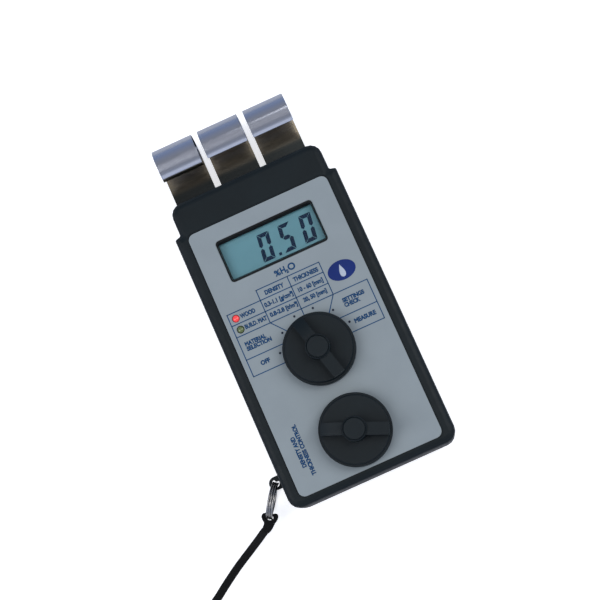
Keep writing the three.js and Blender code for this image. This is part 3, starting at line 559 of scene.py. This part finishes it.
def strap_route():
    """The strap's middle: down from the ring, across the table, twice round and into its stopper."""
    loose = [
        fold_end,
        (-57.4, -76.1, 8.3),
        (-61.4, -78.1, 5.2),
        (-67.6, -81.2, 1.9),
        (-75.4, -85.4, 1.0),
        (-83.4, -90.4, 1.0),
        (-90.0, -94.8, 1.1),
        (-95.0, -97.45, 1.5),
        (-97.7, -97.45, 1.5),
        (-105.0, -97.45, 1.5),
    ]
    route = curved(loose, 4)
    coil_steps, bend_steps = 96, 8
    for k in range(coil_steps + 1):
        swing = COIL_SWEEP * k / coil_steps
        route.append(COIL_MIDDLE + coil_radius(swing) * direction(math.pi / 2 + swing))
    angle = math.pi / 2 + COIL_SWEEP
    bend = COIL_MIDDLE + (coil_radius(COIL_SWEEP) - END_BEND) * direction(angle)
    lift = middle("strap_stopper").z - COIL_MIDDLE.z
    start, stop = angle % (2 * math.pi), math.pi
    for k in range(1, bend_steps + 1):
        share = k / bend_steps
        rise = Vector((0, 0, lift * share ** 2))
        route.append(bend + END_BEND * direction(start + (stop - start) * share) + rise)
    route += [route[-1] + Vector((0, -drop, 0)) for drop in (1.5, 3.0, 4.5)]
    return route


route = strap_route()
strap = swept("strap", route, boxy_oval(STRAP_WIDTH, STRAP_THICKNESS, 16, 0.6))
finished(strap, "strap", "strap", "strap", "strap_cord", "strap_coil")


def strap_eye():
    """The strap's doubled end round the split ring: two layers with an ear on each side, and a hole."""
    outline = [
        (6.7, 0.8), (5.0, 1.75), (3.4, 2.3), (1.9, 2.75), (0.6, 3.35), (-0.7, 3.65),
        (-1.9, 3.45), (-2.5, 2.5), (-2.2, 1.3), (-2.0, 0), (-2.2, -1.2), (-2.1, -2.3),
        (-1.4, -3.4), (0.0, -3.65), (1.3, -3.0), (2.2, -2.2), (3.2, -2.0), (4.4, -2.3),
    ]
    layer_gap, rounding = 0.1, 0.35
    centre = ring_middle.xy + ring_heading * RING_RADIUS

    def at(point):
        return centre + ring_heading * point[0] + ring_aside * point[1]

    rim = [p.xy for p in curved([(*at(point), 0) for point in outline], 4)]
    bottoms = (ring_middle.z - layer_gap / 2 - STRAP_THICKNESS, ring_middle.z + layer_gap / 2)
    made = merged("strap_fold", [prism("layer", rim, low, low + STRAP_THICKNESS) for low in bottoms])
    hole = [at(point) for point in ellipse((-0.35, 0), 1.25, 1.75, 32)]
    combine(made, prism("hole", hole, ring_middle.z - 5, ring_middle.z + 5), "DIFFERENCE")
    flat_map(made)
    return soften(made, rounding, 3)


def flat_map(made):
    """UVs in millimetres, seen from above."""
    layer = made.data.uv_layers.new(name="strip")
    for loop in made.data.loops:
        layer.data[loop.index].uv = made.data.vertices[loop.vertex_index].co.xy / MM


fold = finished(strap_eye(), "strap", "strap", "strap", "strap_eye")


def stopper():
    """A cord lock: a barrel with a waist and a rounded rim at each end."""
    low, high = span("strap_stopper")
    radius, length = (high.z - low.z) / 2, high.y - low.y
    half = length / 2
    profile = [(0, -half), (radius * 0.8, -half), (radius * 0.95, -half + 0.3), (radius, -half + 0.8)]
    profile += [(radius, -half + 1.6), (radius * 0.86, -half + 2.2), (radius * 0.86, half - 2.2)]
    profile += [(radius, half - 1.6), (radius, half - 0.8), (radius * 0.95, half - 0.3)]
    profile += [(radius * 0.8, half), (0, half)]
    made = turned("cord_stopper", profile, 48)
    made.data.transform(Matrix.Rotation(math.radians(-90), 4, "X"))
    return place(smooth(made, 30), *middle("strap_stopper"))


end_stopper = finished(stopper(), "knob", "strap", "knob", "strap_stopper")
dress(soften(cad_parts["strap_tie"], 0.1), "strap")


# ------------------------------------------------------------------ split ring
def split_ring():
    """Two and a half turns of round wire side by side. It steps across in the ring's lower half."""
    low, high = span("split_ring")
    wire, apart = 0.98, 1.0
    radius = (high.z - low.z) / 2 - 0.55
    steps, turns, step_over = 150, 2.5, math.radians(40)
    data = bpy.data.curves.new("ring", "CURVE")
    data.dimensions, data.bevel_depth, data.bevel_resolution = "3D", wire / 2 * MM, 5
    data.use_fill_caps = True
    line = data.splines.new("POLY")
    line.points.add(steps)
    for k in range(steps + 1):
        swing = turns * 2 * math.pi * k / steps
        crossed = sum(clamped((swing - 2 * math.pi * turn) / step_over + 1) for turn in (1, 2))
        level = ring_heading * radius * math.cos(swing) + ring_aside * apart * (crossed - 1)
        at = Vector((*(ring_middle.xy + level), ring_middle.z + radius * math.sin(swing)))
        line.points[k].co = (*(at * MM), 1)
    made = bpy.data.objects.new("ring_wire", data)
    bpy.context.scene.collection.objects.link(made)
    return made


finished(split_ring(), "ring", "strap", "ring_steel", "split_ring")


def lug_hole_shade():
    """A dark tongue of case plastic in the far side of the lug's hole, standing in for the shade there; it
    leaves the swinging ring free.
    """
    hole, clear, swing, half = 1.88, 0.65, math.radians(31), 1.4
    lug = ring_middle.xy - ring_heading * RING_RADIUS

    def at(radius, angle):
        return lug - ring_heading * radius * math.cos(angle) + ring_aside * radius * math.sin(angle)

    spread = math.acos(clear / hole) - swing
    angles = [spread * (k / 8 - 1) for k in range(17)]
    rim = [at(hole, a) for a in angles]
    rim += [at(clear / math.cos(abs(a) + swing), a) for a in angles[-2:0:-1]]
    return smooth(prism("lug_hole_shade", rim, ring_middle.z - half, ring_middle.z + half))


finished(lug_hole_shade(), "case", "root", "case")


# ------------------------------------------------------------------ electrodes
ROLL_RADIUS, ROLL_END, STRIP = 9.0, 132, 0.5
LEG_HEIGHT = 8.0
LEG_STEPS, ROLL_STEPS = 30, 60


def electrode(name, lip):
    """A spring strip: a flat leg that rolls over at its end, and a lip where one is turned down."""
    low, high = span(name)
    roll_y = high.y - ROLL_RADIUS - STRIP / 2
    line = [(low.y + t * (roll_y - low.y) / LEG_STEPS, LEG_HEIGHT) for t in range(LEG_STEPS)]
    for k in range(ROLL_STEPS + 1):
        around = direction(math.radians(-90 + (90 + ROLL_END) * k / ROLL_STEPS)) * ROLL_RADIUS
        line.append((roll_y + around.x, LEG_HEIGHT + ROLL_RADIUS + around.y))
    if lip:
        y, z = line[-1]
        line += [(y - lip * back, z - lip * down) for back, down in ((0.3, 0.28), (0.5, 0.55), (0.68, 1))]
    corners, shade = [], []
    for i, (y, z) in enumerate(line):
        ahead, behind = Vector(line[min(i + 1, len(line) - 1)]), Vector(line[max(i - 1, 0)])
        along = (ahead - behind).normalized()
        out = Vector((-along.y, along.x)) * STRIP / 2
        for x, sign in ((low.x, -1), (high.x, -1), (high.x, 1), (low.x, 1)):
            corners.append((x, y + sign * out.x, z + sign * out.y))
        # each row's painted shade, from how far it lies from the roll
        shade += [painted_shade(i, y - roll_y)] * 4
    rows = len(line)
    faces = [(0, 1, 2, 3), tuple(range(4 * rows - 4, 4 * rows))]
    for i in range(rows - 1):
        for k in range(4):
            n = (k + 1) % 4
            faces.append((4 * i + k, 4 * i + n, 4 * i + 4 + n, 4 * i + 4 + k))
    made = piece(f"{name}_strip", corners, faces)
    tone = made.data.color_attributes.new("painted_shade", "FLOAT_COLOR", "POINT")
    for i, value in enumerate(shade):
        tone.data[i].color = (value, value, value, 1)
    return soften(made, 0.1, 2, 40)


def painted_shade(step, past_leg):
    """How much painted shade the strip gets at a step: 0 on the roll, TAN on a lip, TAN on the leg just
    under the roll as a painted reflection of it, and 1 on the leg near the case as painted shade.
    """
    if step > LEG_STEPS + ROLL_STEPS:
        return TAN
    if step > LEG_STEPS + 0.2 * ROLL_STEPS:
        return 0.0
    if past_leg > -3:
        return TAN * clamped((1 - past_leg) / 4)
    return TAN + (1 - TAN) * clamped((-7 - past_leg) / 5)


for side, lip in (("left", 1.8), ("middle", 0), ("right", 0)):
    finished(electrode(f"electrode_{side}", lip), "stainless", f"electrode_{side[0]}", "stainless",
             f"electrode_{side}")


# ------------------------------------------------------------------ knobs
def knob(name, centre, pointer):
    """A pointer knob: a rim, a stepped skirt, a ridge across it with a sloping end, and a hub.
    The pointer is the heading of the ridge's sloping end in degrees."""
    low, high = span(f"{name}_knob")
    base, top = low.z, high.z
    step, deck = base + 4.5, base + 5.7
    foot, ceiling = base + 2.8, deck - 1.7
    radius, hub, bore, seat = 16.3, 5.5, 4.7, 5.05
    rim_inside, shoulder = radius - 1.9, radius - 1.1
    skirt = turned(f"{name}_pointer_knob", [
        (bore, foot), (6.2, foot), (6.2, ceiling), (rim_inside, ceiling), (rim_inside, base),
        (radius, base), (radius, step - 0.25), (radius - 0.25, step), (shoulder + 0.15, step),
        (shoulder, step + 0.15), (shoulder, deck - 0.35), (shoulder - 0.35, deck), (hub, deck),
        (hub, top - 0.25), (hub - 0.25, top), (seat, top), (seat, top - 1.4), (bore, top - 1.4),
    ])
    half, reach, ridge_top = 2.8, radius - 1.15, top - 0.9
    corner = math.asin(half / reach)
    end = [(reach * math.sin(a), reach * math.cos(a)) for a in (corner * (1 - k / 3) for k in range(7))]
    ridge = prism("ridge", end + [(x, -y) for x, y in reversed(end)], deck - 0.2, ridge_top)
    slope_start, slope_end, slope_low, above = reach - 5.6, reach + 2, ridge_top - 3.6, ridge_top + 4
    profile = [(slope_start, ridge_top), (slope_start, above), (slope_end, above), (slope_end, slope_low)]
    wedge = piece("wedge", [(x, y, z) for x in (-10, 10) for y, z in profile], [
        (0, 1, 2, 3), (4, 5, 6, 7), (0, 1, 5, 4), (1, 2, 6, 5), (2, 3, 7, 6), (3, 0, 4, 7),
    ])
    combine(ridge, wedge, "DIFFERENCE")
    combine(ridge, prism("bore", ellipse((0, 0), 5.3, 5.3, 96), deck - 5, top + 5), "DIFFERENCE")
    combine(skirt, ridge, "UNION")
    place(skirt, centre.x, centre.y, 0, pointer - 90)
    soften(skirt, 0.14, 2, 30)
    finished(skirt, "knob", name, "knob", f"{name}_knob")
    cap = turned(f"{name}_hub_cap", [
        (0, top - 2.4), (4.3, top - 2.4), (4.3, top - 1.1), (4.9, top - 1.1), (4.9, top - 0.3),
        (4.6, top - 0.05), (2.5, top), (0, top),
    ])
    place(smooth(cap), centre.x, centre.y)
    finished(cap, "knob", name, "knob", f"{name}_cap")


knob("selector", selector, 105)
knob("density", density, 157)


# ------------------------------------------------------------------ lamps and display
def lens(name):
    """A round lamp with a domed end."""
    low, high = span(name)
    radius, flange = (high.x - low.x) / 2, low.z + 3
    stem, rise = radius - 0.4, 0.9
    angles = [math.pi / 2 * k / 8 for k in range(8)]
    dome = [(stem * math.cos(a), high.z - rise + rise * math.sin(a)) for a in angles]
    profile = [(0, flange), (radius, flange), (radius, flange + 1), (stem, flange + 1), *dome, (0, high.z)]
    place_at = middle(name)
    return place(smooth(turned(f"{name}_lens", profile, 40)), place_at.x, place_at.y)


for signal in ("lamp_red", "lamp_green"):
    finished(lens(signal), signal, "root", signal, signal)

DIGIT_HEIGHT, DIGIT_WIDTH, STROKE, LEAN = 12.9, 5.8, 1.85, 0.13
SEGMENTS = {"0": "abcdef", "5": "afgcd"}


def segment(letter):
    """The outline of one bar of a seven-segment digit, upright, from its lower left corner."""
    w, h, s, g = DIGIT_WIDTH, DIGIT_HEIGHT, STROKE, 0.16  # g: a bar's setback from its corners
    m, t = h / 2, s / 2
    bars = {
        "a": [(g, h), (w - g, h), (w - s - g * 0.4, h - s), (s + g * 0.4, h - s)],
        "d": [(g, 0), (w - g, 0), (w - s - g * 0.4, s), (s + g * 0.4, s)],
        "g": [(g + t, m), (s + g, m + t), (w - s - g, m + t), (w - g - t, m), (w - s - g, m - t),
              (s + g, m - t)],
        "f": [(0, h - g), (s, h - s - g), (s, m + t + g), (t, m + g), (0, m + t)],
        "e": [(0, g), (s, s + g), (s, m - t - g), (t, m - g), (0, m - t)],
        "b": [(w, h - g), (w - s, h - s - g), (w - s, m + t + g), (w - t, m + g), (w, m + t)],
        "c": [(w, g), (w - s, s + g), (w - s, m - t - g), (w - t, m - g), (w, m - t)],
    }
    return bars[letter]


def show_reading():
    """The reading on the display, 0.50, as slanted segments."""
    baseline = window_bottom + 3.15
    low, high = lcd_top + 0.01, lcd_top + 0.05
    first_x, pitch = -7.15, 10.35
    for k, character in enumerate("050"):
        bars = []
        for letter in SEGMENTS[character]:
            outline = [(first_x + pitch * k + x + LEAN * y, baseline + y) for x, y in segment(letter)]
            bars.append(prism("bar", outline, low, high))
        finished(merged(f"digit_{k + 1}", bars), "digits", "root", "lcd")
    x, size = 0.55, 1.35
    dot = [(x, baseline), (x + size, baseline), (x + size + LEAN, baseline + size),
           (x + LEAN, baseline + size)]
    finished(prism("decimal_point", dot, low, high), "digits", "root", "lcd")


show_reading()


# ------------------------------------------------------------------ printed label
INK_THICKNESS = 0.02
LINE_WIDTH = 0.45
LETTER_WEIGHT = 0.155


def stroke(start, end):
    """A printed line between two points of the label."""
    a, b = Vector(start), Vector(end)
    along = (b - a).normalized() * LINE_WIDTH / 2
    aside = Vector((-along.y, along.x))
    outline = [a - along - aside, b + along - aside, b + along + aside, a - along + aside]
    return prism("stroke", [tuple(p) for p in outline], ink, ink + INK_THICKNESS)


def rule_table():
    """The ruled cells round the selector."""
    left, second, third, fourth, right = -31.85, -15.4, -0.2, 15.4, 31.85
    rows = [22.45, 17.5, 12.0, 6.45, -4.5, -12.6]
    knob_side = 15.9
    lines = [
        ((second, rows[0]), (fourth, rows[0])),
        ((left, rows[1]), (fourth, rows[1])),
        ((left, rows[2]), (fourth, rows[2])),
        ((left, rows[3]), (right, rows[3])),
        ((left, rows[4]), (-13.0, rows[4])),
        ((13.0, rows[4]), (right, rows[4])),
        ((left, rows[5]), (-knob_side, rows[5])),
        ((knob_side, rows[5]), (right, rows[5])),
        ((left, rows[1]), (left, rows[5])),
        ((second, rows[0]), (second, rows[3])),
        ((third, rows[0]), (third, 0)),
        ((fourth, rows[0]), (fourth, rows[3])),
        ((right, rows[3]), (right, rows[5])),
        ((second, rows[3]), (-8.8, -1.5)),
        ((fourth, rows[3]), (9.6, -1.5)),
    ]
    finished(merged("ruled_lines", [stroke(a, b) for a, b in lines]), "print", "root", "label")


def selector_dots():
    """Six marks round the selector, one for each position."""
    dial, radius, size = Vector((0.1, -12.3)), 17.5, 0.56
    dots = []
    for k in range(6):
        at = dial + radius * direction(math.radians(165 - 30 * k)).xy
        dots.append(prism("dot", ellipse(at, size, size, 24), ink, ink + INK_THICKNESS))
    finished(merged("selector_dots", dots), "dots", "root", "label")


def lettering(name, body, left, right, bottom, top, upright=False):
    """Words fitted into a box on the label, or reading upwards in it, and made bolder all round."""
    data = bpy.data.curves.new(name, "FONT")
    data.body = body
    data.size = 1.0
    made = bpy.data.objects.new(name, data)
    bpy.context.scene.collection.objects.link(made)
    bpy.context.view_layer.update()
    corners = [Vector(c) for c in made.bound_box]
    low = Vector((min(c.x for c in corners), min(c.y for c in corners)))
    high = Vector((max(c.x for c in corners), max(c.y for c in corners)))
    wide, tall = (top - bottom, right - left) if upright else (right - left, top - bottom)
    across, along = wide * MM / (high.x - low.x), tall * MM / (high.y - low.y)
    data.bevel_depth, data.bevel_resolution = LETTER_WEIGHT * MM / max(across, along), 0
    thin = INK_THICKNESS / 2 * MM / data.bevel_depth
    turn = Matrix.Rotation(math.radians(90 if upright else 0), 4, "Z")
    corner = Vector((right if upright else left, bottom, ink + INK_THICKNESS / 2)) * MM
    made.matrix_world = (Matrix.Translation(corner) @ turn @ Matrix.Diagonal((across, along, thin, 1))
                         @ Matrix.Translation((-low.x, -low.y, 0)))
    finished(made, "print", "root", "label")


def words():
    """The label's general words and ranges."""
    lettering("word_percent", "%", -4.7, -2.2, 24.4, 27.0)
    lettering("word_h", "H", -1.7, 0.3, 24.5, 27.3)
    lettering("word_2", "2", 0.6, 1.5, 23.9, 25.3)
    lettering("word_o", "O", 1.9, 5.1, 24.4, 27.4)
    lettering("word_density", "DENSITY", -12.1, -3.2, 18.85, 20.75)
    lettering("word_thickness", "THICKNESS", 1.9, 13.7, 18.85, 20.75)
    lettering("word_wood", "WOOD", -26.4, -19.4, 13.7, 15.6)
    lettering("word_build", "BUILD. MAT", -26.4, -16.0, 8.4, 10.3)
    lettering("range_1", "0.3-1.1 [g/cm ]", -14.5, -0.9, 13.1, 15.6)
    lettering("range_1_power", "3", -2.0, -1.4, 14.6, 15.7)
    lettering("range_2", "10 - 60 [mm]", 2.0, 13.8, 13.1, 15.6)
    lettering("range_3", "0.8-2.8 [t/m ]", -14.0, -0.9, 8.1, 10.5)
    lettering("range_3_power", "3", -2.0, -1.4, 9.6, 10.6)
    lettering("range_4", "20, 50 [mm]", 2.3, 13.4, 8.1, 10.5)
    lettering("word_material", "MATERIAL", -29.5, -19.6, 1.3, 3.1)
    lettering("word_selection", "SELECTION", -29.5, -17.8, -1.0, 0.8)
    lettering("word_off", "OFF", -26.4, -22.2, -9.4, -7.5)
    lettering("word_settings", "SETTINGS", 18.1, 28.3, 1.2, 3.0)
    lettering("word_check", "CHECK", 18.1, 25.2, -1.1, 0.7)
    lettering("word_measure", "MEASURE", 19.3, 29.3, -9.4, -7.5)
    lettering("word_control_1", "DENSITY AND", -28.0, -26.2, -58.3, -44.2, upright=True)
    lettering("word_control_2", "THICKNESS CONTROL", -25.4, -23.6, -63.0, -39.4, upright=True)


def badge():
    """A plain oval with a water drop."""
    centre, oval_top = Vector((23.3, 14.9)), ink + INK_THICKNESS
    oval = prism("badge_oval", ellipse(centre, 6.55, 4.5, 64), ink, oval_top)
    finished(oval, "badge", "root", "label")
    rim = []
    for k in range(48):
        a = 2 * math.pi * k / 48
        aside, up = 1.9 * math.sin(a) * math.sin(a / 2) ** 1.5, 3.0 * math.cos(a) - 0.1
        rim.append((centre.x + aside, centre.y + up))
    finished(prism("badge_drop", rim, oval_top, oval_top + INK_THICKNESS), "drop", "root", "label")


rule_table()
selector_dots()
words()
badge()


# ------------------------------------------------------------------ CAD pieces that stay
KEPT = {
    "case": ["front_shell", "rear_shell", "battery_door"],
    "label": ["front_label"],
    "bezel": ["display_frame"],
    "clear": ["display_window"],
    "lcd": ["display_lcd"],
    "nylon": ["display_holder", "electrode_block", "electrode_clamp"],
    "elastomer": ["elastomer_lower", "elastomer_upper"],
    "board": ["main_board"],
    "chip": ["measuring_chip", "display_chip"],
    "housing": ["selector_switch", "density_potentiometer"],
    "brass": ["selector_collet", "density_collet"],
    "battery": ["battery"],
    "foam": ["battery_foam"],
    "red_wire": ["snap_lead_red"],
    "black_wire": ["snap_lead_black", "battery_snap"],
    "grey_wire": ["potentiometer_ribbon", *(f"electrode_lead_{k}" for k in ("left", "middle", "right"))],
    "steel": ["selector_shaft", "density_shaft", "selector_nut", "density_nut",
              "clamp_screw_1", "clamp_screw_2",
              *(f"{kind}_screw_{k}" for kind in ("case", "board") for k in (1, 2, 3, 4))],
}
for look, names in KEPT.items():
    for name in names:
        smooth(dress(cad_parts[name], look))
